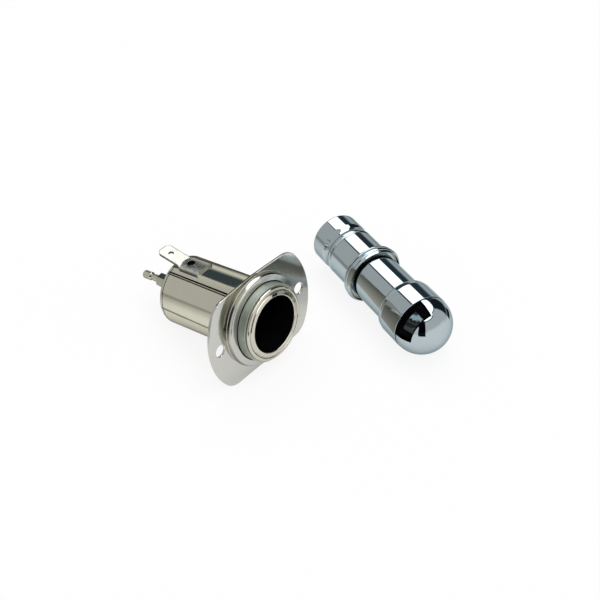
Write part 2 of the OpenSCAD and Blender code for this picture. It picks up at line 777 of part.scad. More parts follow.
// Cup that holds the coil and meets the clip's fingers
module element_cup() {
    lip = 0.5;
    hole_r = 1.25;
    color([0.7, 0.66, 0.58]) lay_lighter() rotate_extrude() polygon([
        [hole_r, cup_floor], [hole_r, cup_floor - cup_wall], [cup_r - cup_wall, cup_floor - cup_wall],
        [cup_r - cup_wall, cup_back], [cup_r + 0.1, cup_back], [cup_r + 0.1, cup_back + lip],
        [cup_r, cup_back + lip + 0.2], [cup_r, cup_floor - 0.6], [cup_r - 0.6, cup_floor]]);
}

// Flat spiral of resistance ribbon
module heating_coil() {
    per = 28;
    steps = coil_turns * per;
    r_in = 1.8;
    r_out = cup_r - cup_wall;
    function ribbon(i, side) = let (a = 360 * i / per, r = r_in + (r_out - r_in) * i / steps + side)
        [r * cos(a), r * sin(a)];
    back = cup_back + 0.7;
    color([0.45, 0.36, 0.32]) lay_lighter() translate([0, 0, back]) linear_extrude(ribbon_h)
        polygon(concat([for (i = [0:steps]) ribbon(i, 0)], [for (i = [steps:-1:0]) ribbon(i, -ribbon_t)]));
}

// Rivet that ties the coil's inner end through the cup
module element_rivet() {
    shank = 1.2;
    head = 1.45;
    back = cup_back + 0.5;
    color([0.7, 0.66, 0.58]) lay_lighter() {
        translate([0, 0, back]) cylinder(h = cup_floor - back, r = shank);
        translate([0, 0, back]) cylinder(h = 2, r1 = head - 0.3, r2 = head);
    }
}

socket_barrel();
spacer_ring();
mounting_flange();
outer_can();
ground_terminal();
ground_rivet();
retaining_springs();
contact_clip();
contact_stud();
inner_insulator();
spacer_bush();
rear_insulator();
plain_washer();
lock_washer();
live_terminal();
lighter_sleeve();
collar_ring();
guide_bush();
return_spring();
neck_tube();
spring_seat();
head_band();
dome_cap();
window_insert();
window_lens();
spindle();
spindle_clip();
ceramic_insulator();
element_cup();
heating_coil();
element_rivet();
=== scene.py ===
import json
import math

import bmesh
import bpy
from mathutils import Matrix, Vector


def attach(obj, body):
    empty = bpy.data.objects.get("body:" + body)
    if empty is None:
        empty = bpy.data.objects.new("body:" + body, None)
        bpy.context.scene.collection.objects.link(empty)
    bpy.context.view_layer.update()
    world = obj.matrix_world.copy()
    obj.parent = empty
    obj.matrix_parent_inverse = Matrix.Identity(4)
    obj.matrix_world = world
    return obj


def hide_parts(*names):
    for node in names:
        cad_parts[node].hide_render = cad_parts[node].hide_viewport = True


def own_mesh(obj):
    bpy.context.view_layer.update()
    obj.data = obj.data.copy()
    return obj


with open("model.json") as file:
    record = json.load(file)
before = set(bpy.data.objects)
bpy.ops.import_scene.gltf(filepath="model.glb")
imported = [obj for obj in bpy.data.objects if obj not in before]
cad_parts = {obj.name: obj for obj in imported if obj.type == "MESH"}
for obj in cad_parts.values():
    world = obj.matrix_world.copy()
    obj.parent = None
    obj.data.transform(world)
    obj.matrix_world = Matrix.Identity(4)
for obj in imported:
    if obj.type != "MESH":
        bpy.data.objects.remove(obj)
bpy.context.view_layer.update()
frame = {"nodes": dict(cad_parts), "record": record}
mm = 0.001
micron = 0.000001


def note(text):
    print("scene:", text)


# places: each half's depth on its mount's axis in millimetres, and its turn round it in degrees
places = dict(socket=dict(mount="socket_bore", forward=1, depth=-1.0, spin=2.0),
              lighter=dict(mount="lighter_barrel", forward=-1, depth=-25.3, spin=0.0))


def placeAlong(s):
    # local Z runs forward along the mount's axis, and the mount's point lies at local height depth
    mount = next(m for m in frame["record"]["mounts"] if m["name"] == s["mount"])
    axis = Vector(mount["axis"]) * s["forward"]
    swap = Matrix(((0, 0, 1, 0), (1, 0, 0, 0), (0, 1, 0, 0), (0, 0, 0, 1)))
    turn = Matrix.Rotation(math.atan2(axis.y, axis.x), 4, "Z")
    tilt = Matrix.Rotation(-math.asin(axis.z), 4, "Y")
    spinning = Matrix.Rotation(math.radians(s["spin"]), 4, "Z")
    drop = Matrix.Translation((0, 0, -s["depth"] * mm))
    return Matrix.Translation(Vector(mount["pos_m"])) @ turn @ tilt @ swap @ spinning @ drop


socketPlace = placeAlong(places["socket"])
lighterPlace = placeAlong(places["lighter"])


# materials
def newMaterial(name):
    material = bpy.data.materials.new(name)
    material.use_nodes = True
    tree = material.node_tree
    return material, tree, tree.nodes["Principled BSDF"]


def feed(tree, node, feeds):
    # by the name or place of an input: a socket is linked to it, and anything else is its value
    for place, value in feeds.items():
        if isinstance(value, bpy.types.NodeSocket):
            tree.links.new(value, node.inputs[place])
        else:
            node.inputs[place].default_value = value


def addNode(tree, kind, feeds, **settings):
    node = tree.nodes.new("ShaderNode" + kind)
    for name, value in settings.items():
        setattr(node, name, value)
    feed(tree, node, feeds)
    return node


def objectPoint(tree):
    return addNode(tree, "TexCoord", {}).outputs["Object"]


def coordinates(tree, point):
    return addNode(tree, "SeparateXYZ", {0: point}).outputs


def objectNoise(tree, scale, detail=3.0, stretch=(1, 1, 1)):
    mapping = addNode(tree, "Mapping", {"Vector": objectPoint(tree), "Scale": stretch})
    noise = addNode(tree, "TexNoise", {"Vector": mapping.outputs["Vector"], "Scale": scale, "Detail": detail})
    return noise.outputs["Fac"]


def spread(tree, value, low, high, fromLow=0.3, fromHigh=0.7, **settings):
    remap = addNode(tree, "MapRange", {"Value": value, "From Min": fromLow, "From Max": fromHigh,
                                       "To Min": low, "To Max": high}, **settings)
    return remap.outputs["Result"]


def tinted(tree, value, first, second):
    # each end is a colour, or a socket that gives one
    ends = [(*end, 1) if isinstance(end, tuple) else end for end in (first, second)]
    mix = addNode(tree, "Mix", {"Factor": value, "A": ends[0], "B": ends[1]}, data_type="RGBA")
    return mix.outputs["Result"]


def bumped(tree, shader, value, height):
    bump = addNode(tree, "Bump", {"Height": value, "Strength": 1.0, "Distance": height})
    feed(tree, shader, {"Normal": bump.outputs["Normal"]})


def metalFinish(name, tint, shade, roughness, cloud=60.0, grain=(1, 1, 1), grainScale=900.0,
                grainHeight=0.0, edgeTint=(0.68, 0.68, 0.66)):
    # tint and shade are the two ends of a faint colour change, roughness its two ends
    material, tree, shader = newMaterial(name)
    patches = spread(tree, objectNoise(tree, cloud, 4.0), 0, 1)
    lines = objectNoise(tree, grainScale, 2.0, grain)
    feed(tree, shader, {"Metallic": 1.0, "Specular Tint": (*edgeTint, 1),
                        "Base Color": tinted(tree, patches, shade, tint),
                        "Roughness": spread(tree, lines, *roughness)})
    if grainHeight:
        bumped(tree, shader, lines, grainHeight)
    return material


def plasticFinish(name, tint, shade, roughness, grainScale=1500.0, grainHeight=0.0, gloss=0.5):
    material, tree, shader = newMaterial(name)
    patches = spread(tree, objectNoise(tree, 120.0), 0, 1)
    grain = objectNoise(tree, grainScale)
    feed(tree, shader, {"Specular IOR Level": gloss, "Base Color": tinted(tree, patches, shade, tint),
                        "Roughness": spread(tree, grain, *roughness)})
    if grainHeight:
        bumped(tree, shader, grain, grainHeight)
    return material


finishes = {
    "chrome": metalFinish("polishedChrome", (0.468, 0.54, 0.562), (0.448, 0.52, 0.542), (0.02, 0.045),
                          cloud=90.0, edgeTint=(0.485, 0.535, 0.56)),
    "nickel": metalFinish("drawnNickel", (0.65, 0.64, 0.525), (0.61, 0.595, 0.485), (0.05, 0.09),
                          cloud=70.0, grain=(0.05, 1, 1), grainHeight=0.6 * micron),
    "flangeNickel": metalFinish("stampedNickel", (0.6, 0.595, 0.56), (0.56, 0.555, 0.52), (0.1, 0.16),
                                grainScale=1400.0, grainHeight=0.6 * micron),
    "collarNickel": metalFinish("brushedCollar", (0.57, 0.57, 0.53), (0.53, 0.53, 0.49), (0.13, 0.19),
                                cloud=70.0, grainScale=1700.0, grainHeight=0.3 * micron),
    # darker metal on the blade's edges and on the rivet: painted shade that draws their outlines
    "paintedEdgeShade": metalFinish("paintedEdgeShade", (0.2, 0.2, 0.185), (0.14, 0.14, 0.13), (0.3, 0.45), cloud=300.0),
    "rimNickel": metalFinish("turnedNickel", (0.62, 0.595, 0.515), (0.58, 0.555, 0.48), (0.04, 0.07),
                             cloud=90.0),
    "collarFlank": metalFinish("pressedFlank", (0.56, 0.55, 0.5), (0.52, 0.51, 0.46), (0.16, 0.24),
                               grainScale=1400.0, grainHeight=0.8 * micron),
    "boreShade": plasticFinish("darkBore", (0.0035, 0.0035, 0.0045), (0.002, 0.002, 0.0025), (0.4, 0.6),
                               gloss=0.05),
    "zinc": metalFinish("passivatedZinc", (0.475, 0.525, 0.462), (0.405, 0.45, 0.395), (0.46, 0.58),
                        cloud=80.0, grainScale=2200.0, grainHeight=1.5 * micron),
    "tin": metalFinish("tinPlate", (0.54, 0.55, 0.49), (0.4, 0.41, 0.365), (0.17, 0.27),
                       cloud=420.0, grainScale=1200.0, grainHeight=1.2 * micron),
    "steel": metalFinish("brightSteel", (0.42, 0.41, 0.37), (0.34, 0.33, 0.3), (0.15, 0.28), cloud=120.0),
    "bronze": metalFinish("springBronze", (0.52, 0.33, 0.13), (0.42, 0.26, 0.1), (0.16, 0.3), cloud=120.0),
    "coilAlloy": metalFinish("heatedAlloy", (0.19, 0.13, 0.1), (0.09, 0.065, 0.07), (0.3, 0.5), cloud=500.0),
    "blackPlastic": plasticFinish("blackInsert", (0.0022, 0.0022, 0.0028), (0.001, 0.001, 0.0015),
                                  (0.25, 0.4), gloss=0.01),
    "bakelite": plasticFinish("brownBakelite", (0.045, 0.026, 0.017), (0.028, 0.017, 0.012), (0.3, 0.42),
                              grainScale=1800.0, grainHeight=2 * micron),
    "ceramic": plasticFinish("whiteCeramic", (0.72, 0.69, 0.6), (0.62, 0.58, 0.49), (0.55, 0.7),
                             grainScale=2200.0, grainHeight=4 * micron),
}


def banded(tree, value, stops):
    node = addNode(tree, "ValToRGB", {"Fac": value})
    elements = node.color_ramp.elements
    for index, (place, tone) in enumerate(stops):
        element = elements[index] if index < 2 else elements.new(place)
        element.position = place
        element.color = (*tone, 1)
    return node.outputs["Color"]


def heightAbove(tree, base):
    height = coordinates(tree, objectPoint(tree))["Z"]
    return addNode(tree, "Math", {0: height, 1: base}, operation="SUBTRACT").outputs[0]


# the smoked pane: its tones from its lowest edge to its highest, with a painted reflection: bands of lighter
# and darker tone, lightest and bluish near the top
lens = dict(roughness=(0.04, 0.09), unevenness=0.06, gloss=0.12, tones=[
    (0.0, (0.012, 0.015, 0.015)), (0.1, (0.035, 0.042, 0.042)), (0.3, (0.05, 0.06, 0.06)),
    (0.36, (0.01, 0.014, 0.014)), (0.5, (0.006, 0.008, 0.009)), (0.54, (0.05, 0.065, 0.07)),
    (0.6, (0.006, 0.008, 0.009)), (0.7, (0.012, 0.018, 0.02)), (0.76, (0.26, 0.37, 0.42)),
    (0.88, (0.22, 0.32, 0.37)), (0.93, (0.02, 0.03, 0.035)), (1.0, (0.004, 0.005, 0.006))])


def lensWithPaintedReflection(node, s):
    corners = [node.matrix_world @ Vector(c) for c in node.bound_box]
    base, top = min(c.z for c in corners), max(c.z for c in corners)
    material, tree, shader = newMaterial("smokedLens")
    patches = spread(tree, objectNoise(tree, 900.0, 2.0), -s["unevenness"], s["unevenness"])
    shifted = addNode(tree, "Math", {0: heightAbove(tree, base), 1: 1 / (top - base), 2: patches},
                      operation="MULTIPLY_ADD")
    # the base colour follows height: the lens's painted reflection
    feed(tree, shader, {"Specular IOR Level": s["gloss"],
                        "Base Color": banded(tree, shifted.outputs[0], s["tones"]),
                        "Roughness": spread(tree, objectNoise(tree, 1500.0), *s["roughness"])})
    return material


def distanceFrom(tree, centre):
    gap = addNode(tree, "VectorMath", {0: objectPoint(tree), 1: centre}, operation="DISTANCE")
    return gap.outputs["Value"]


# a painted dark reflection on the drawn metal beside the collar, in a crescent, darkest at the foot;
# millimetres on the flange
crescent = dict(middle=(-5.68, 7.43, -6.9), radius=13.45, footReach=19.3, soft=0.2,
                paintedReflectionDark=(0.385, 0.36, 0.285), paintedReflectionDarkest=(0.23, 0.225, 0.175))


def paintedReflectionBeside(material, s):
    tree = material.node_tree
    shader = tree.nodes["Principled BSDF"]
    plain = shader.inputs["Base Color"].links[0].from_socket

    def within(centre, reach):
        edges = (reach - s["soft"]) * mm, (reach + s["soft"]) * mm
        return spread(tree, distanceFrom(tree, socketPlace @ (Vector(centre) * mm)), 1, 0, *edges)

    # the crescent's colour: a painted dark reflection, darkest near the collar's foot
    paintedReflectionTone = tinted(tree, within((0, 0, s["middle"][2]), s["footReach"]), s["paintedReflectionDark"], s["paintedReflectionDarkest"])
    feed(tree, shader, {"Base Color": tinted(tree, within(s["middle"], s["radius"]), plain, paintedReflectionTone)})


# paints the dark reflection into the flange's nickel
paintedReflectionBeside(finishes["flangeNickel"], crescent)
finishes["lensPlastic"] = lensWithPaintedReflection(frame["nodes"]["window_lens"], lens)
note("finishes made")


# building: outlines are lists of (radius, height) in millimetres, angles are in degrees
hair = 0.02   # millimetres, too small to see


def ovalArc(centreR, centreZ, radiusR, radiusZ, start, end, steps=12):
    turns = [math.radians(start + (end - start) * i / steps) for i in range(steps + 1)]
    return [(centreR + radiusR * math.cos(a), centreZ + radiusZ * math.sin(a)) for a in turns]


def arc(centreR, centreZ, radius, start, end, steps=8):
    return ovalArc(centreR, centreZ, radius, radius, start, end, steps)


def wave(startR, endR, startZ, endZ, steps):
    # a smooth S between two radii
    return [(startR + (endR - startR) * (0.5 - 0.5 * math.cos(math.pi * i / steps)),
             startZ + (endZ - startZ) * i / steps) for i in range(steps + 1)]


def supported(outline, near=0.05):
    # extra points close to the ends of each long straight keep its shading straight
    steady = []
    for (r, z), (nextR, nextZ) in zip(outline, outline[1:] + outline[:1]):
        steady.append((r, z))
        length = math.hypot(nextR - r, nextZ - z)
        if length > near * 10:
            for part in (near / length, 1 - near / length):
                steady.append((r + (nextR - r) * part, z + (nextZ - z) * part))
    return steady


def loopOf(mesh, points):
    # closes a ring of edges through points given in metres
    verts = [mesh.verts.new(point) for point in points]
    return verts, [mesh.edges.new(pair) for pair in zip(verts, verts[1:] + verts[:1])]


def facedOut(mesh):
    bmesh.ops.recalc_face_normals(mesh, faces=mesh.faces[:])


def spun(outline, steps=160, turn=360.0, start=0.0):
    # turns a closed outline round local Z
    mesh = bmesh.new()
    begin = Matrix.Rotation(math.radians(start), 3, "Z")
    verts, edges = loopOf(mesh, [begin @ Vector((r * mm, 0, z * mm)) for r, z in supported(outline)])
    bmesh.ops.spin(mesh, geom=verts + edges, axis=(0, 0, 1), cent=(0, 0, 0), dvec=(0, 0, 0),
                   angle=math.radians(turn), steps=steps, use_merge=turn == 360.0, use_duplicate=False)
    bmesh.ops.remove_doubles(mesh, verts=mesh.verts[:], dist=1e-7)
    facedOut(mesh)
    return mesh


def faceSpots(mesh):
    # each face with its middle's radius and height in millimetres
    for face in mesh.faces:
        middle = face.calc_center_median() / mm
        yield face, math.hypot(middle.x, middle.y), middle.z


def facesRound(mesh, towards):
    # each face with its middle, and how far round local Z it lies from towards, in radians
    for face in mesh.faces:
        middle = face.calc_center_median()
        away = math.atan2(middle.y, middle.x) - towards
        yield face, middle, abs((away + math.pi) % (2 * math.pi) - math.pi)


def thickened(mesh, way, keepOriginal=False):
    # gives a sheet its second skin, way in millimetres from the first
    grown = bmesh.ops.extrude_face_region(mesh, geom=mesh.faces[:], use_keep_orig=keepOriginal)
    skin = [v for v in grown["geom"] if isinstance(v, bmesh.types.BMVert)]
    bmesh.ops.translate(mesh, vec=Vector(way) * mm, verts=skin)
    facedOut(mesh)


def cutOpening(mesh, doomed):
    # opens a wall of two skins and closes the cut between them
    bmesh.ops.delete(mesh, geom=doomed, context="FACES")
    bmesh.ops.bridge_loops(mesh, edges=[e for e in mesh.edges if e.is_boundary])


def meshData(name, mesh):
    data = bpy.data.meshes.new(name)
    mesh.to_mesh(data)
    mesh.free()
    return data


def joined(mesh, data):
    mesh.from_mesh(data)
    bpy.data.meshes.remove(data)


def addedObject(name, data):
    made = bpy.data.objects.new(name, data)
    bpy.context.scene.collection.objects.link(made)
    return made


def turned(mesh, degrees, axis):
    bmesh.ops.rotate(mesh, cent=(0, 0, 0), matrix=Matrix.Rotation(math.radians(degrees), 3, axis),
                     verts=mesh.verts[:])


def moved(mesh, x, y, z):
    bmesh.ops.translate(mesh, vec=(x * mm, y * mm, z * mm), verts=mesh.verts[:])


def roundedEdges(piece, width, segments, angle, material=-1):
    edge = piece.modifiers.new("edge", "BEVEL")
    edge.width = width * mm
    edge.segments = segments
    edge.material = material
    edge.limit_method = "ANGLE"
    edge.angle_limit = math.radians(angle)
    edge.harden_normals = True


def finishPiece(name, mesh, place, body, looks, replaced, sharp=35.0):
    # looks are the finishes of the mesh's material numbers
    bmesh.ops.transform(mesh, matrix=place, verts=mesh.verts[:])
    data = meshData(name, mesh)
    for polygon in data.polygons:
        polygon.use_smooth = True
    data.set_sharp_from_angle(angle=math.radians(sharp))
    for look in looks:
        data.materials.append(finishes[look])
    piece = addedObject(name, data)
    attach(piece, body)
    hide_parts(replaced)
    return piece


# socket: barrel with its rolled rim
barrel = dict(bore=10.65, wall=0.7, length=37.5, floor=0.8, floorRound=1.2, hole=3.05,
              rim=14.0, rimHeight=1.2, rimFoot=0.2, lip=0.4, landR=12.25, landDrop=0.16, landRound=0.1,
              grooveR=12.5, groove=0.42, grooveHalf=0.08, beadR=13.28, beadTop=-0.18, beadBase=-0.9,
              beadInset=0.12, windowDepth=17.0, windowLength=7.0, windowSteps=5, steps=160, darkFrom=-0.62)


def barrelOutline(s, inner, outer, windowTop, windowBottom):
    floorTop = -s["length"] + s["floor"]
    beadRise = s["beadTop"] - s["beadBase"]
    beadInner = s["beadR"] - s["grooveR"] - s["beadInset"]
    outline = [(inner, floorTop), (inner, windowBottom), (inner, windowTop), (inner, s["darkFrom"])]
    outline += arc(inner + s["lip"], -s["lip"], s["lip"], 180, 78, 10)
    outline += arc(s["landR"] - s["landRound"], -s["landDrop"] - s["landRound"], s["landRound"], 80, 20, 3)
    outline += [(s["grooveR"] - s["grooveHalf"], -s["groove"]),
                (s["grooveR"] + s["grooveHalf"], -s["groove"])]
    outline += ovalArc(s["beadR"], s["beadBase"], beadInner, beadRise, 165, 90, 10)
    outline += ovalArc(s["beadR"], s["beadBase"], s["rim"] - s["beadR"], beadRise, 82, 0)
    outline += arc(s["rim"] - s["rimFoot"], -s["rimHeight"] + s["rimFoot"], s["rimFoot"], 0, -90, 4)
    outline += [(outer, -s["rimHeight"]), (outer, windowTop), (outer, windowBottom),
                (outer, -s["length"] + s["floorRound"])]
    outline += arc(outer - s["floorRound"], -s["length"] + s["floorRound"], s["floorRound"], 0, -90, 5)
    return outline + [(s["hole"], -s["length"]), (s["hole"], floorTop)]


def buildBarrel(s):
    inner, outer = s["bore"], s["bore"] + s["wall"]
    windowTop = -s["windowDepth"] + s["windowLength"] / 2
    windowBottom = -s["windowDepth"] - s["windowLength"] / 2
    mesh = spun(barrelOutline(s, inner, outer, windowTop, windowBottom), s["steps"])
    half = math.radians(360.0 / s["steps"] * s["windowSteps"])
    for side in (0, math.pi):
        cutOpening(mesh, [face for face, middle, away in facesRound(mesh, side)
                          if windowBottom * mm < middle.z < windowTop * mm and away < half
                          and abs(face.normal.z) < 0.5])
    facedOut(mesh)
    for face, radius, height in faceSpots(mesh):
        if radius < outer + hair and height < s["darkFrom"] + hair:
            face.material_index = 1
    finishPiece("socketBarrel", mesh, socketPlace, "socket", ("rimNickel", "boreShade"),
                "socket_barrel", 30.0)


buildBarrel(barrel)

ring = dict(inner=11.4, outer=14.6, top=-1.3, bottom=-4.62, soft=0.12, stepR=13.7, step=0.1)
finishPiece("spacerRing", spun(
    [(ring["inner"], ring["bottom"])]
    + arc(ring["outer"] - ring["soft"], ring["bottom"] + ring["soft"], ring["soft"], -90, 0, 4)
    + arc(ring["outer"] - ring["soft"], ring["top"] - ring["soft"], ring["soft"], 0, 90, 4)
    + [(ring["stepR"], ring["top"]), (ring["stepR"], ring["top"] + ring["step"]),
       (ring["inner"], ring["top"] + ring["step"])]),
    socketPlace, "socket", ("zinc",), "spacer_ring")
note("barrel and ring made")


# socket: flange with its pressed collar
flange = dict(length=53.0, width=37.2, slope=2.0, thickness=1.0, front=-6.7, earRound=8.0,
              holeRadius=2.3, pitch=43.0, edge=0.16, inner=11.4, sheetStep=0.9,
              crestR=17.3, crestTop=-4.68, crestFall=0.3, crestRound=0.5,
              footR=17.85, foot=0.25, flankHeight=1.1, flankShare=0.38,
              dishSlope=0.055, dishFrom=24.5, dishEase=2.0, gapR=14.62, gapDepth=0.45, lipGap=0.22,
              lipRound=0.2, rimBeyond=0.5, inset=0.05, cutPitch=1.5)


def dished(s, radius):
    # how far the plate sinks towards the foot of its collar
    ease = s["dishEase"]
    inward = max(0.0, s["dishFrom"] - radius)
    if inward < ease:
        return s["dishSlope"] * inward * inward / (2 * ease)
    return s["dishSlope"] * (inward - ease / 2)


def flangeOutline(s):
    endR = s["length"] / 2
    cornerY = s["width"] / 2 - s["earRound"]
    cornerX = math.sqrt((endR - s["earRound"]) ** 2 - cornerY ** 2)
    meet = math.degrees(math.atan2(cornerY, cornerX))
    quarter = arc(0, 0, endR, 0, meet - s["slope"], 20)
    tilt = -math.radians(s["slope"])
    quarter += [(x * math.cos(tilt) - y * math.sin(tilt), x * math.sin(tilt) + y * math.cos(tilt))
                for x, y in arc(cornerX, cornerY, s["earRound"], meet, 90, 16)[1:]]
    quarter.append((0, s["width"] / 2 / math.cos(tilt)))
    upper = quarter + [(-x, y) for x, y in quarter[-2::-1]]
    return upper + [(x, -y) for x, y in upper[-2:0:-1]]


def flangePlate(s):
    mesh = bmesh.new()
    loops = [flangeOutline(s), arc(0, 0, s["footR"], 0, 360, 160)[:-1]]
    loops += [arc(side * s["pitch"] / 2, 0, s["holeRadius"], 0, 360, 48)[:-1] for side in (-1, 1)]
    front = s["front"] * mm
    edges = [edge for loop in loops for edge in loopOf(mesh, [(x * mm, y * mm, front) for x, y in loop])[1]]
    bmesh.ops.triangle_fill(mesh, use_beauty=True, use_dissolve=False, edges=edges)
    thickened(mesh, (0, 0, -s["thickness"]))
    rims = [e for e in mesh.edges if len(e.link_faces) == 2 and e.calc_face_angle() > 1.0
            and (e.verts[0].co + e.verts[1].co).to_2d().length / 2 / mm > s["footR"] + s["rimBeyond"]]
    bmesh.ops.bevel(mesh, geom=rims, offset=s["edge"] * mm, offset_type="OFFSET", segments=3, profile=0.5,
                    affect="EDGES", material=-1, clamp_overlap=True)
    for facing in (1, -1):
        flat = [f for f in mesh.faces if f.normal.z * facing > 0.999]
        bmesh.ops.inset_region(mesh, faces=flat, thickness=s["inset"] * mm, use_even_offset=True)
    for way, reach in (((1, 0, 0), s["length"] / 2), ((0, 1, 0), s["width"] / 2)):
        cuts = int(reach / s["cutPitch"])
        for step in range(-cuts, cuts + 1):
            bmesh.ops.bisect_plane(mesh, geom=mesh.verts[:] + mesh.edges[:] + mesh.faces[:], dist=1e-7,
                                   plane_co=Vector(way) * step * s["cutPitch"] * mm, plane_no=way)
    for vert in mesh.verts:
        vert.co.z -= dished(s, vert.co.to_2d().length / mm) * mm
    return meshData("plate", mesh)


def flangeCollar(s):
    low = s["front"] - dished(s, s["footR"])
    gap = s["crestTop"] - s["gapDepth"]
    corner = s["crestTop"] - s["crestFall"] - s["crestRound"]
    flankTop = low + s["flankHeight"]
    lipR = s["gapR"] + s["lipGap"]
    backZ = s["crestTop"] - s["thickness"]
    outline = [(s["inner"], gap), (lipR, gap)]
    outline += arc(lipR + s["lipRound"], s["crestTop"] - s["lipRound"], s["lipRound"], 180, 86, 5)
    outline += arc(s["crestR"] - s["crestRound"], corner, s["crestRound"], 84, 22, 10)
    outline.append((s["crestR"] + (s["footR"] - s["crestR"]) * s["flankShare"], flankTop))
    outline += arc(s["footR"], low + s["foot"], s["foot"], 202, 270, 6)
    outline += [(s["footR"] + hair, low - s["thickness"]),
                (s["footR"] - s["sheetStep"], low - s["thickness"]),
                (s["crestR"] - s["sheetStep"], backZ), (s["inner"], backZ)]
    mesh = spun(outline)
    for face, radius, height in faceSpots(mesh):
        if radius < lipR + hair and gap - hair < height < s["crestTop"] - s["lipRound"]:
            face.material_index = 1
        elif height > flankTop and radius > s["gapR"]:
            face.material_index = 2
        elif height > low - s["thickness"] / 2 and radius > s["crestR"] - s["crestRound"]:
            face.material_index = 3
    return mesh


def buildFlange(s):
    plate = flangePlate(s)
    mesh = flangeCollar(s)
    joined(mesh, plate)
    finishPiece("mountingFlange", mesh, socketPlace, "socket",
                ("flangeNickel", "boreShade", "collarNickel", "collarFlank"), "mounting_flange", 28.0)


buildFlange(flange)
note("flange made")

# socket: can, terminals, rear stack
can = dict(radius=13.35, wall=0.8, front=-5.75, end=-45.7, round=1.3, edge=0.1, hole=3.05,
           line=1.9, lineHalf=0.16, lineDepth=0.14)


def buildCan(s):
    radius, end, turnIn = s["radius"], s["end"], s["round"]
    lineZ = end + s["line"]
    mesh = spun(
        [(radius - s["wall"], s["front"])]
        + arc(radius - s["edge"], s["front"] - s["edge"], s["edge"], 90, 0, 2)
        + [(radius, lineZ + s["lineHalf"]), (radius - s["lineDepth"], lineZ), (radius, lineZ - s["lineHalf"])]
        + arc(radius - turnIn, end + turnIn, turnIn, 0, -90, 14)
        + [(s["hole"], end), (s["hole"], end + s["wall"])]
        + arc(radius - turnIn, end + turnIn, turnIn - s["wall"], -90, 0, 8))
    for face, faceR, height in faceSpots(mesh):
        if faceR > radius - s["lineDepth"] and abs(height - lineZ) < s["lineHalf"]:
            face.material_index = 1
    finishPiece("outerCan", mesh, socketPlace, "socket", ("nickel", "boreShade"), "outer_can")


buildCan(can)

groundPlate = dict(angle=91.5, width=8.3, front=-31.4, length=11.0, thick=0.8, lift=0.02, bladeWidth=6.3,
                   bladeLength=10.8, bendAhead=0.9, bend=14.0, bendSoft=0.6, slimFrom=1.0, slimOver=1.4,
                   flatFrom=0.4, flatOver=1.6, tipCut=1.4, across=16, along=60, border=0.3, edge=0.32,
                   rivetAt=-37.78, shank=1.6, shankReach=2.0, latch=0.85, latchSink=1.12, latchAt=6.7,
                   latchReach=3.0, sinkFrom=-0.3, sinkTo=0.05, sinkOver=(1.32, 1.0), holeSteps=48)
platePlace = socketPlace @ Matrix.Rotation(math.radians(groundPlate["angle"] - 90), 4, "Z")


def clamped(value):
    return min(1.0, max(0.0, value))


def bladeRise(s, past):
    # how far the blade stands off the can at a distance past its soft bend
    return (math.hypot(past, s["bendSoft"]) - s["bendSoft"]) * math.sin(math.radians(s["bend"]))


def plateSheet(s, outside, bendZ):
    # a flat sheet across and along, then rolled on the can and bent out behind it
    mesh = bmesh.new()
    across, along = s["across"], s["along"]
    bmesh.ops.create_grid(mesh, x_segments=across, y_segments=along, size=0.5)
    # the border faces take the darker metal: painted shade along the sheet's edges
    for face in mesh.faces:
        middle = face.calc_center_median()
        if abs(middle.x) > 0.5 - 1 / across or middle.y < -0.5 + 1 / along:
            face.material_index = 1
    total = s["front"] - bendZ + s["bladeLength"] + s["flatFrom"]
    for vert in mesh.verts:
        side = vert.co.x * 2
        if abs(abs(side) - 1 + 2 / across) < 0.01:
            side = math.copysign(1 - s["border"] / s["bladeWidth"] * 2, side)
        reach = (0.5 - vert.co.y) * total
        z = s["front"] - reach
        past = max(0.0, bendZ - z)
        slim = clamped((bendZ + s["slimFrom"] - z) / s["slimOver"])
        width = s["width"] + (s["bladeWidth"] - s["width"]) * slim
        width -= 2 * max(0.0, s["tipCut"] - total + reach)
        x = side * width / 2
        flat = clamped((bendZ + s["flatFrom"] - z) / s["flatOver"])
        curved = math.sqrt(outside ** 2 - x * x)
        y = curved + (outside - curved) * flat * flat * (3 - 2 * flat) + bladeRise(s, past)
        z += past * (1 - math.cos(math.radians(s["bend"])))
        vert.co = (x * mm, y * mm, z * mm)
    facedOut(mesh)
    if sum(f.normal.y for f in mesh.faces) < 0:
        bmesh.ops.reverse_faces(mesh, faces=mesh.faces[:])
    thickened(mesh, (0, -s["thick"], 0), True)
    return mesh


def plateHoles(s, outside, bendZ):
    # the latch hole with its countersink, and the rivet's hole
    past = s["latchAt"]
    holes = spun([(0.0, -s["latchReach"]), (s["latch"], -s["latchReach"]), (s["latch"], s["sinkFrom"]),
                  (s["latchSink"], s["sinkTo"]), s["sinkOver"], (0.0, s["sinkOver"][1])], s["holeSteps"])
    for face in holes.faces:
        face.material_index = 1
    turned(holes, s["bend"] - 90, "X")
    moved(holes, 0, outside + bladeRise(s, past), bendZ - past * math.cos(math.radians(s["bend"])))
    low, high = can["radius"] - s["shankReach"], can["radius"] + s["shankReach"]
    shank = spun([(0.0, low), (s["shank"], low), (s["shank"], high), (0.0, high)], s["holeSteps"])
    turned(shank, -90, "X")
    moved(shank, 0, 0, s["rivetAt"])
    joined(holes, meshData("cutter", shank))
    bmesh.ops.transform(holes, matrix=platePlace, verts=holes.verts[:])
    return meshData("plateHoles", holes)


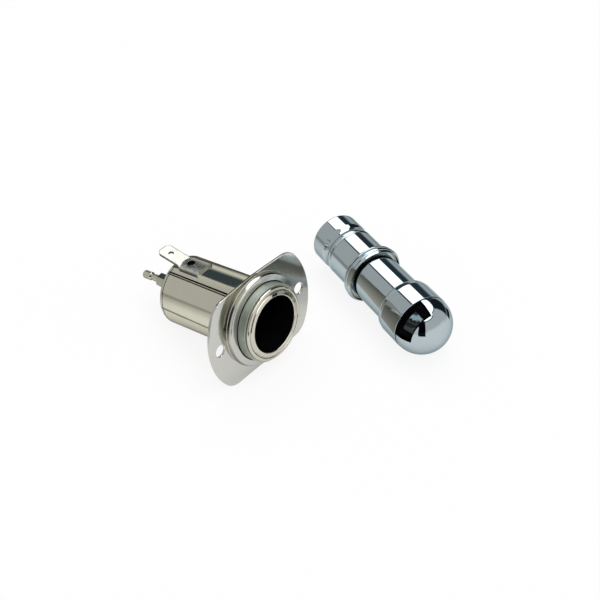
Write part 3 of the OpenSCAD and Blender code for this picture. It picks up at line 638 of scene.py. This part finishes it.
def buildGroundPlate(s):
    outside = can["radius"] + s["thick"] + s["lift"]
    bendZ = s["front"] - s["length"] + s["bendAhead"]
    piece = finishPiece("groundTerminal", plateSheet(s, outside, bendZ), platePlace, "socket",
                        ("tin", "paintedEdgeShade"), "ground_terminal", 30.0)
    tool = addedObject("plateCutter", plateHoles(s, outside, bendZ))
    cut = piece.modifiers.new("holes", "BOOLEAN")
    cut.operation = "DIFFERENCE"
    cut.solver = "EXACT"
    cut.object = tool
    graph = bpy.context.evaluated_depsgraph_get()
    done = bpy.data.meshes.new_from_object(piece.evaluated_get(graph))
    piece.modifiers.clear()
    piece.data = done
    bpy.data.objects.remove(tool)
    # the rounded edges take the darker metal too: painted shade
    roundedEdges(piece, s["edge"], 3, 50, 1)


buildGroundPlate(groundPlate)

rivet = dict(radius=1.75, bore=1.5, top=14.45, seat=14.1, bottom=12.0, well=0.7, wellRise=0.15,
             innerRound=0.14, outerRound=0.2, outerInset=0.12, foot=(1.85, 14.1), shank=(1.6, 14.05),
             darkMargin=0.08, steps=48)


def buildRivet(s):
    well = s["seat"] - s["well"]
    mesh = spun([(0.0, s["bottom"]), (0.0, well), (s["bore"], well + s["wellRise"]),
                 (s["bore"], s["top"] - s["innerRound"])]
                + arc(s["bore"] + s["innerRound"], s["top"] - s["innerRound"], s["innerRound"], 180, 90, 5)
                + arc(s["radius"] - s["outerInset"], s["top"] - s["outerRound"], s["outerRound"], 90, 10, 5)
                + [s["foot"], s["shank"], (s["shank"][0], s["bottom"])], s["steps"])
    for face, radius, height in faceSpots(mesh):
        if radius < s["bore"] + s["darkMargin"] and height > well - s["darkMargin"]:
            face.material_index = 1
    place = (platePlace @ Matrix.Translation((0, 0, groundPlate["rivetAt"] * mm))
             @ Matrix.Rotation(math.radians(-90), 4, "X"))
    # the rivet in the darker metal: painted shade
    finishPiece("groundRivet", mesh, place, "socket", ("paintedEdgeShade", "boreShade"), "ground_rivet")


buildRivet(rivet)

rear = dict(end=can["end"], hole=1.55, insulator=3.0, insulatorR=6.5, insulatorRound=0.4,
            spigotR=3.0, spigotEnd=-37.8, insulatorSteps=96, washer=0.8, washerR=3.9, washerRound=0.12,
            washerSteps=64, lock=1.1, lockR=3.0, lockRound=0.1, lockOpening=12.0, lockSteps=60, hexFlats=5.0,
            hexLength=8.1, hexTurn=38.0, hexEdge=0.18, hexInset=0.05, flatFrom=1.5, bulletSteps=64,
            bullet=1.65, bulletLength=8.9, bulletShare=0.52, tipRound=0.8, shoulder=0.25, shoulderDrop=0.75,
            grooveLength=0.8, grooveRise=0.3, neckShare=0.86, grooveShare=0.62)
insulatorBack = rear["end"] - rear["insulator"]
washerBack = insulatorBack - rear["washer"]
lockBack = washerBack - rear["lock"]


def discOutline(inner, outer, low, high, soft):
    return ([(inner, low)] + arc(outer - soft, low + soft, soft, -90, 0, 3)
            + arc(outer - soft, high - soft, soft, 0, 90, 3) + [(inner, high)])


finishPiece("rearInsulator", spun(
    [(rear["hole"], insulatorBack)]
    + arc(rear["insulatorR"] - rear["insulatorRound"], insulatorBack + rear["insulatorRound"],
          rear["insulatorRound"], -90, 0, 5)
    + [(rear["insulatorR"], rear["end"]), (rear["spigotR"], rear["end"]),
       (rear["spigotR"], rear["spigotEnd"]), (rear["hole"], rear["spigotEnd"])], rear["insulatorSteps"]),
    socketPlace, "socket", ("bakelite",), "rear_insulator")
finishPiece("plainWasher", spun(
    discOutline(rear["hole"], rear["washerR"], washerBack, insulatorBack, rear["washerRound"]),
    rear["washerSteps"]), socketPlace, "socket", ("nickel",), "plain_washer")
finishPiece("lockWasher", spun(
    discOutline(rear["hole"], rear["lockR"], lockBack + hair, washerBack - hair, rear["lockRound"]),
    rear["lockSteps"], 360 - rear["lockOpening"], rear["lockOpening"] / 2),
    socketPlace, "socket", ("steel",), "lock_washer")


def buildTerminal(s):
    hexBack = lockBack - s["hexLength"]
    tip = hexBack - s["bulletLength"]
    hexR = s["hexFlats"] / 2 / math.cos(math.radians(30)) * mm
    mesh = bmesh.new()
    bmesh.ops.create_cone(mesh, cap_ends=True, segments=6, radius1=hexR, radius2=hexR,
                          depth=s["hexLength"] * mm)
    turned(mesh, s["hexTurn"], "Z")
    moved(mesh, 0, 0, hexBack + s["hexLength"] / 2)
    bmesh.ops.bevel(mesh, geom=mesh.edges[:], offset=s["hexEdge"] * mm, offset_type="OFFSET", segments=3,
                    profile=0.5, affect="EDGES", material=-1)
    flats = [f for f in mesh.faces if f.calc_area() > (s["flatFrom"] * mm) ** 2]
    bmesh.ops.inset_individual(mesh, faces=flats, thickness=s["hexInset"] * mm, use_even_offset=True)
    hexagon = meshData("hexagon", mesh)
    bullet, soft = s["bullet"], s["tipRound"]
    neck, groove = bullet * s["neckShare"], bullet * s["grooveShare"]
    place = tip + s["bulletLength"] * s["bulletShare"]
    grooveEnd = place + s["grooveLength"]
    outline = [(0.0, tip)] + arc(bullet - soft, tip + soft, soft, -90, 0, 10)
    outline += arc(bullet - s["shoulder"], place - s["shoulderDrop"], s["shoulder"], 0, 60, 4)
    outline += [(groove, place), (groove, grooveEnd), (neck, grooveEnd + s["grooveRise"]),
                (neck, hexBack + s["grooveRise"]), (0.0, hexBack + s["grooveRise"])]
    mesh = spun(outline, s["bulletSteps"])
    joined(mesh, hexagon)
    finishPiece("liveTerminal", mesh, socketPlace, "socket", ("nickel",), "live_terminal", 30.0)


buildTerminal(rear)
note("terminals made")

# lighter: sleeve, collar, knob
sleeve = dict(radius=10.35, wall=0.5, length=26.0, lead=0.7, lip=0.4, drum=-18.9, valley=(-16.7, -15.8),
              valleyR=9.82, bead=(-14.1, -13.6), beadR=10.32, groove=(-12.87, -12.63), grooveR=9.98,
              front=2.7, frontFrom=-12.15, frontR=10.32, innerFrom=-12.6, innerBead=-14.4, steps=192)


def sleeveOutline(s):
    rearZ = -s["length"]
    roundR = s["radius"] - s["lead"]
    lipR = roundR - s["lip"]
    inner, innerValley = s["radius"] - s["wall"], s["valleyR"] - s["wall"]
    outline = [(lipR, rearZ)] + arc(roundR, rearZ + s["lead"], s["lead"], -90, 0)
    outline += wave(s["radius"], s["valleyR"], s["drum"], s["valley"][0], 12)
    outline += wave(s["valleyR"], s["beadR"], s["valley"][1], s["bead"][0], 12)
    outline += wave(s["beadR"], s["grooveR"], s["bead"][1], s["groove"][0], 6)
    outline += wave(s["grooveR"], s["frontR"], s["groove"][1], s["frontFrom"], 6)
    outline += [(s["frontR"], s["front"]), (inner, s["front"]), (inner, s["innerFrom"])]
    outline += wave(inner, innerValley, s["innerBead"], s["valley"][1], 6)
    outline += wave(innerValley, inner, s["valley"][0], s["drum"], 6)
    outline += arc(roundR, rearZ + s["lead"], s["lead"] - s["wall"], 0, -90, 4)
    return outline + [(lipR, rearZ + s["wall"])]


finishPiece("lighterSleeve", spun(sleeveOutline(sleeve), sleeve["steps"]), lighterPlace, "lighter",
            ("chrome",), "lighter_sleeve")

collar = dict(seat=10.4, length=4.0, beadR=11.85, bead=0.45, waistR=11.5, waist=0.98,
              radius=12.15, bulge=(0.75, 1.08), bulgeAt=2.15, faceR=11.72, face=3.28, facet=0.12,
              facetIn=0.06, recessR=11.0, recess=1.0, lip=0.2, lipR=11.3, darkWithin=0.05,
              darkBelow=3.65, boreFrom=1.0, steps=192)


def buildCollar(s):
    floor = s["length"] - s["recess"]
    mesh = spun(
        [(s["seat"], 0.0)] + arc(s["beadR"] - s["bead"], s["bead"], s["bead"], -90, 50)
        + [(s["waistR"], s["waist"])]
        + ovalArc(s["radius"] - s["bulge"][0], s["bulgeAt"], *s["bulge"], -72, 62, 18)
        + [(s["faceR"], s["face"]), (s["faceR"] - s["facetIn"], s["face"] + s["facet"])]
        + arc(s["lipR"], s["length"] - s["lip"], s["lip"], 80, 180, 6)
        + [(s["recessR"], floor), (s["seat"], floor)], s["steps"])
    for face, radius, height in faceSpots(mesh):
        if abs(radius - s["recessR"]) < s["darkWithin"] and height < s["darkBelow"]:
            face.material_index = 1
        elif radius < s["recessR"] and height > s["boreFrom"]:
            face.material_index = 2
    finishPiece("collarRing", mesh, lighterPlace, "lighter", ("chrome", "boreShade", "steel"),
                "collar_ring", 32.0)


buildCollar(collar)

neck = dict(radius=9.75, wall=0.6, back=-5.0, front=33.4, soft=0.3, steps=192)
finishPiece("neckTube", spun(
    [(neck["radius"] - neck["wall"], neck["back"])]
    + arc(neck["radius"] - neck["soft"], neck["back"] + neck["soft"], neck["soft"], -90, 0, 4)
    + [(neck["radius"], neck["front"]), (neck["radius"] - neck["wall"], neck["front"])], neck["steps"]),
    lighterPlace, "knob", ("chrome",), "neck_tube")

head = dict(back=22.9, edgeR=10.3, edgeRise=1.02, edgeRun=1.45, taper=(11.575, 25.45), radius=11.6,
            bodyFrom=(11.594, 25.7), body=25.95, seam=35.4, seamRound=0.12, gap=0.4, gapR=11.1, inner=9.5,
            fit=9.8, clear=0.04, darkR=11.5, steps=192)
seam = head["seam"]


def buildHead(s):
    gapBack, top, soft = seam - s["gap"], seam - s["clear"], s["seamRound"]
    mesh = spun(
        [(s["fit"], s["back"])]
        + ovalArc(s["edgeR"], s["back"] + s["edgeRun"], s["edgeRise"], s["edgeRun"], -90, -14, 18)
        + [s["taper"], s["bodyFrom"], (s["radius"], s["body"])]
        + arc(s["radius"] - soft, gapBack - soft, soft, 0, 90, 5)
        + [(s["gapR"], gapBack), (s["gapR"], top), (s["inner"], top), (s["inner"], neck["front"]),
           (s["fit"], neck["front"])], s["steps"])
    for face, radius, height in faceSpots(mesh):
        if radius < s["darkR"] and height > gapBack - hair:
            face.material_index = 1
    finishPiece("headBand", mesh, lighterPlace, "knob", ("chrome", "boreShade"), "head_band")


buildHead(head)

dome = dict(radius=11.5, height=11.3, wall=1.0, foot=((11.38, -0.02), (11.47, 0.05)), paneLength=6.7,
            paneSpan=83.0, paneAngle=139.5, poleGap=0.05, edge=0.16, steps=216, rows=44)


def domeShell(radius, height, rowHeights):
    # from the seam up to the pole
    rows = [(radius * math.sqrt(1 - (z / height) ** 2), seam + z) for z in rowHeights]
    return rows + [(0.0, seam + height)]


def buildDome(s):
    steps, rows = s["steps"], s["rows"]
    spanSteps = round(s["paneSpan"] / 360 * steps)
    rowHeights = [s["height"] * math.sin(math.radians(90 * i / rows)) for i in range(1, rows)]
    nearest = min(range(rows - 1), key=lambda i: abs(rowHeights[i] - s["paneLength"]))
    rowHeights[nearest] = s["paneLength"]
    thinR, thinH = s["radius"] - s["wall"], s["height"] - s["wall"]
    outline = [(r, seam + z) for r, z in s["foot"]]
    outline += domeShell(s["radius"], s["height"], rowHeights)
    outline += domeShell(thinR, thinH, [z for z in rowHeights if z < thinH - s["poleGap"]])[::-1]
    outline.append((thinR, seam + s["foot"][0][1]))
    half = spanSteps * 360 / steps / 2
    mesh = spun(outline, steps, 360.0, s["paneAngle"] - half)
    paneTop = (seam + s["paneLength"] - 0.001) * mm
    cutOpening(mesh, [face for face, middle, away in facesRound(mesh, math.radians(s["paneAngle"]))
                      if middle.z < paneTop and away < math.radians(half)])
    facedOut(mesh)
    piece = finishPiece("domeCap", mesh, lighterPlace, "knob", ("chrome",), "dome_cap", 30.0)
    roundedEdges(piece, s["edge"], 2, 40)


buildDome(dome)

spring = dict(wire=0.45, coil=4.05, turns=5, back=-16.1, front=-3.5, travel=7, stepsPerTurn=36, wireSides=10)


def buildSpring(s):
    mesh = bmesh.new()
    section = arc(s["coil"], s["back"] + s["wire"], s["wire"], 0, 360, s["wireSides"])[:-1]
    verts, edges = loopOf(mesh, [(r * mm, 0, z * mm) for r, z in section])
    steps = s["turns"] * s["stepsPerTurn"]
    length = s["front"] - s["back"]
    rise = (length - 2 * s["wire"]) / steps
    bmesh.ops.spin(mesh, geom=verts + edges, axis=(0, 0, 1), cent=(0, 0, 0), dvec=(0, 0, rise * mm),
                   angle=math.radians(360 * s["turns"]), steps=steps, use_merge=False, use_duplicate=False)
    bmesh.ops.holes_fill(mesh, edges=[e for e in mesh.edges if e.is_boundary], sides=0)
    facedOut(mesh)
    piece = finishPiece("returnSpring", mesh, lighterPlace, "lighter", ("steel",),
                        "return_spring", 60.0)
    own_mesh(piece)


buildSpring(spring)

# pieces whose CAD shape is right
carriedFinishes = dict(
    window_insert="blackPlastic", window_lens="lensPlastic", spindle="steel", spindle_clip="steel",
    ceramic_insulator="ceramic", element_cup="steel", heating_coil="coilAlloy", element_rivet="steel",
    spring_seat="bronze", guide_bush="bronze", retaining_springs="bronze", contact_clip="bronze",
    contact_stud="nickel", inner_insulator="bakelite", spacer_bush="steel")
for node, finish in carriedFinishes.items():
    carried = frame["nodes"][node]
    if not carried.material_slots:
        carried.data.materials.append(None)
    for holder in carried.material_slots:
        holder.link = "OBJECT"
        holder.material = finishes[finish]
note("lighter made")

# studio
paper = dict(size=6.0, seenShare=0.86, mirroredShare=0.58, colour=0.93,
             # fades: a painted fall-off of light farther along two ways, as metal sees the floor
             fades=(dict(way=(-0.94, 0.34), start=25.0, end=95.0, tone=0.57),
                    dict(way=(-0.6, -0.8), start=60.0, end=130.0, tone=0.7)),
             # a painted shadow under the can, as metal sees the floor
             paintedShadowY=(-37.0, -29.0, -14.0, -8.0), paintedShadowTo=4.0, paintedShadowTone=0.4,
             # a thin darker line along the floor, as metal sees it
             darkLineY=-46.5, darkLineHalf=1.5, darkLineTo=-6.0, darkLineTone=0.34,
             feet=((-67, -42), (62, 85)), feetRound=(50.0, 15.0), feetBeyond=85.0, feetTone=0.01)


def treeMaths(tree):
    # a short hand for math nodes
    def maths(operation, *values):
        return addNode(tree, "Math", dict(enumerate(values)), operation=operation).outputs[0]

    return maths


def blended(maths, share, low, high):
    # low where share is 0, high where it is 1
    return maths("ADD", maths("MULTIPLY", low, maths("SUBTRACT", 1.0, share)), maths("MULTIPLY", high, share))


def between(maths, value, low, high):
    return maths("MULTIPLY", maths("GREATER_THAN", value, low), maths("LESS_THAN", value, high))


def eased(tree, value, start, end):
    return spread(tree, value, 0, 1, start, end, interpolation_type="SMOOTHSTEP")


def mixedSurface(tree, share, first, second):
    mix = addNode(tree, "MixShader", {0: share, 1: first.outputs[0], 2: second.outputs[0]})
    feed(tree, tree.nodes["Material Output"], {"Surface": mix.outputs[0]})


def mirroredTone(tree, maths, s):
    # how bright metal sees the floor by place in millimetres: a painted fall-off of light, a painted shadow
    # under the can, a thin dark line, and dark walls' feet
    point = coordinates(tree, objectPoint(tree))
    x, y = maths("MULTIPLY", point["X"], 1 / mm), maths("MULTIPLY", point["Y"], 1 / mm)
    tone = 1.0
    # painted fall-off of light: darker farther along each way
    for fade in s["fades"]:
        along = maths("ADD", maths("MULTIPLY", x, fade["way"][0]), maths("MULTIPLY", y, fade["way"][1]))
        tone = maths("MULTIPLY", tone,
                     blended(maths, eased(tree, along, fade["start"], fade["end"]), 1.0, fade["tone"]))
    # painted shadow under the can
    rise, top, fall, foot = s["paintedShadowY"]
    paintedShadowShare = maths("MULTIPLY", maths("MULTIPLY", eased(tree, y, rise, top), eased(tree, y, foot, fall)),
                  maths("LESS_THAN", x, s["paintedShadowTo"]))
    tone = blended(maths, paintedShadowShare, tone, s["paintedShadowTone"])
    # a thin darker line along the floor
    darkLine = maths("MULTIPLY", between(maths, y, s["darkLineY"] - s["darkLineHalf"], s["darkLineY"] + s["darkLineHalf"]),
                     maths("LESS_THAN", x, s["darkLineTo"]))
    tone = blended(maths, darkLine, tone, s["darkLineTone"])
    offX, offY = maths("SUBTRACT", x, s["feetRound"][0]), maths("SUBTRACT", y, s["feetRound"][1])
    reach = maths("SQRT", maths("ADD", maths("MULTIPLY", offX, offX), maths("MULTIPLY", offY, offY)))
    turn = maths("MULTIPLY", maths("ARCTAN2", offY, offX), 180 / math.pi)
    beyond = maths("GREATER_THAN", reach, s["feetBeyond"])
    for low, high in s["feet"]:
        tone = blended(maths, maths("MULTIPLY", beyond, between(maths, turn, low, high)), tone, s["feetTone"])
    return tone


def floorMaterial(s):
    # white to the camera, with the object's shadow
    material, tree, shader = newMaterial("paperFloor")
    tree.nodes.remove(shader)
    maths = treeMaths(tree)
    rays = addNode(tree, "LightPath", {}).outputs
    seen = rays["Is Camera Ray"]
    mirrored = maths("MAXIMUM", rays["Is Glossy Ray"], rays["Is Transmission Ray"])
    tone = blended(maths, seen, mirroredTone(tree, maths, s), 1.0)
    diffuse = addNode(tree, "BsdfDiffuse", {"Color": maths("MULTIPLY", tone, s["colour"])})
    glow = addNode(tree, "Emission", {"Strength": tone})
    share = maths("ADD", maths("MULTIPLY", seen, s["seenShare"]),
                  maths("MULTIPLY", mirrored, s["mirroredShare"]))
    mixedSurface(tree, share, diffuse, glow)
    return material


def sheetObject(name, mesh, material):
    data = meshData(name, mesh)
    data.materials.append(material)
    return addedObject(name, data)


floorMesh = bmesh.new()
bmesh.ops.create_grid(floorMesh, x_segments=1, y_segments=1, size=paper["size"] / 2)
floor = sheetObject("floor", floorMesh, floorMaterial(paper))

# by azimuth round the object: the brightness of the studio's zones, and the heights of their edges in degrees
studioRoom = dict(
    softboxEdge=[(-180, 47), (-62, 46), (-45, 45), (0, 50), (15, 53), (30, 59), (57, 54), (90, 50), (105, 45),
                 (112, 42), (118, 39), (122, 38), (128, 34), (133, 34), (140, 37), (152, 40), (165, 42),
                 (175, 45), (180, 47)],
    tableEdge=[(-180, 0), (-90, 0), (-40, 4), (-30, 10), (0, 13), (30, 12), (45, 6), (62, 0), (90, 1),
               (100, 8), (105, 13), (115, 15), (130, 16), (137, 16), (160, 18), (166, 0), (180, 0)],
    table=[(-180, 0.58), (-100, 0.58), (-90, 0.85), (-68, 0.95), (-67, 0.01), (-42, 0.01), (-41, 1.0),
           (30, 1.0), (60, 0.8), (90, 0.8), (105, 0.76), (115, 0.76), (128, 0.88), (160, 0.9), (165, 0.62),
           (180, 0.58)],
    wall=[(-180, 0.6), (-90, 0.6), (-86, 0.85), (-68, 0.85), (-67, 0.001), (-42, 0.001), (-41, 0.68),
          (58, 0.68), (62, 0.02), (100, 0.02), (105, 0.05), (125, 0.05), (130, 0.07), (163, 0.07),
          (165, 0.66), (180, 0.62)],
    ceiling=[(-180, 0.6), (-90, 0.6), (-84, 0.87), (-63, 0.87), (-61, 2.35), (170, 2.35), (172, 0.02),
             (176.5, 0.02), (178.5, 0.6), (180, 0.6)],
    frameLine=[(-180, 0.6), (-90, 0.6), (-86, 0.85), (-63, 0.85), (-62, 0.05), (60, 0.05), (62, 0.02),
               (105, 0.05), (163, 0.07), (165, 0.66), (180, 0.62)],
    frameWidth=3.0, edgeSoft=1.0, tableSoft=7.0, highest=90.0, brightest=2.5, darkTint=(0.65, 1.0, 1.28),
    darkBelow=0.3)


def buildWorld(s):
    world = bpy.data.worlds.new("studioWorld")
    bpy.context.scene.world = world
    world.use_nodes = True
    tree = world.node_tree
    tree.nodes.clear()
    maths = treeMaths(tree)
    way = coordinates(tree, addNode(tree, "TexCoord", {}).outputs["Generated"])
    turn = maths("MULTIPLY_ADD", maths("ARCTAN2", way["Y"], way["X"]), 1 / (2 * math.pi), 0.5)
    height = maths("MULTIPLY", maths("ARCSINE", way["Z"]), 180 / math.pi)

    def ringed(name, most):
        # colour ramps end at one, so the values go through them as shares of the most
        stops = [((angle + 180) / 360, (value / most,) * 3) for angle, value in s[name]]
        return maths("MULTIPLY", banded(tree, turn, stops), most)

    def above(edge, soft):
        return eased(tree, maths("SUBTRACT", height, edge), -soft, soft)

    boxEdge = ringed("softboxEdge", s["highest"])
    frameEdge = maths("SUBTRACT", boxEdge, s["frameWidth"])
    light = ringed("table", s["brightest"])
    for edge, soft, zone in ((ringed("tableEdge", s["highest"]), s["tableSoft"], "wall"),
                             (frameEdge, s["edgeSoft"], "frameLine"), (boxEdge, s["edgeSoft"], "ceiling")):
        light = blended(maths, above(edge, soft), light, ringed(zone, s["brightest"]))
    light = blended(maths, addNode(tree, "LightPath", {}).outputs["Is Camera Ray"], light, 1.0)
    cool = tinted(tree, eased(tree, light, 0.0, s["darkBelow"]), s["darkTint"], (1, 1, 1))
    background = addNode(tree, "Background", {"Color": cool, "Strength": light})
    addNode(tree, "OutputWorld", {"Surface": background.outputs[0]})


buildWorld(studioRoom)

# narrow cards between and beside the halves, which only mirrors see, each from its front alone: its middle in
# y and z, half its height, its ends in x, its tilt, and its tones at the low and the high edge
cards = [
    dict(name="farCardLow", middle=(6.0, 4.3), half=4.0, ends=(-66.0, -9.0), tilt=90.0, tones=(0.14, 0.14)),
    dict(name="farCardHigh", middle=(6.0, 17.5), half=7.0, ends=(-66.0, -9.0), tilt=90.0, tones=(0.14, 0.14)),
    dict(name="brownCardRear", middle=(8.0, 12.6), half=11.8, ends=(-13.0, 20.0), tilt=-90.0,
         tones=(0.6, 0.13)),
    dict(name="brownCardFront", middle=(6.0, 9.8), half=9.0, ends=(17.0, 38.0), tilt=-90.0,
         tones=(0.5, 0.13)),
    dict(name="firstStrip", middle=(-37.5, 57.0), half=2.2, ends=(-112.0, -16.0), tilt=180.0,
         tones=(0.0, 0.0)),
    dict(name="secondStrip", middle=(-42.2, 54.6), half=1.6, ends=(-112.0, -16.0), tilt=180.0,
         tones=(0.0, 0.0))]
cardTint = (1.12, 1.0, 0.84)


def cardMaterial(s):
    material, tree, shader = newMaterial(s["name"] + "Paint")
    tree.nodes.remove(shader)
    low, high = (s["middle"][1] - s["half"]) * mm, (s["middle"][1] + s["half"]) * mm
    tone = spread(tree, heightAbove(tree, 0.0), *s["tones"], low, high)
    glow = addNode(tree, "Emission", {"Color": (*cardTint, 1), "Strength": tone})
    behind = addNode(tree, "NewGeometry", {}).outputs["Backfacing"]
    mixedSurface(tree, behind, glow, addNode(tree, "BsdfTransparent", {}))
    return material


def buildCard(s):
    mesh = bmesh.new()
    bmesh.ops.create_grid(mesh, x_segments=1, y_segments=1, size=0.5)
    length = s["ends"][1] - s["ends"][0]
    bmesh.ops.scale(mesh, vec=(length * mm, s["half"] * 2 * mm, 1), verts=mesh.verts[:])
    turned(mesh, s["tilt"], "X")
    moved(mesh, sum(s["ends"]) / 2, *s["middle"])
    card = sheetObject(s["name"], mesh, cardMaterial(s))
    card.visible_camera = False
    card.visible_diffuse = False
    card.visible_shadow = False
    card.visible_transmission = False


for card in cards:
    buildCard(card)

# camera
view = dict(place=(0.191668, -0.233558, 0.253343), turn=(51.2412, -0.1483, 39.1086), lens=61.538, sensor=36.0)
cameraData = bpy.data.cameras.new("camera")
cameraData.lens = view["lens"]
cameraData.sensor_width = view["sensor"]
camera = addedObject("camera", cameraData)
camera.location = view["place"]
camera.rotation_euler = [math.radians(a) for a in view["turn"]]
bpy.context.scene.camera = camera
bpy.context.scene.view_settings.view_transform = "Standard"
note("studio and camera made")
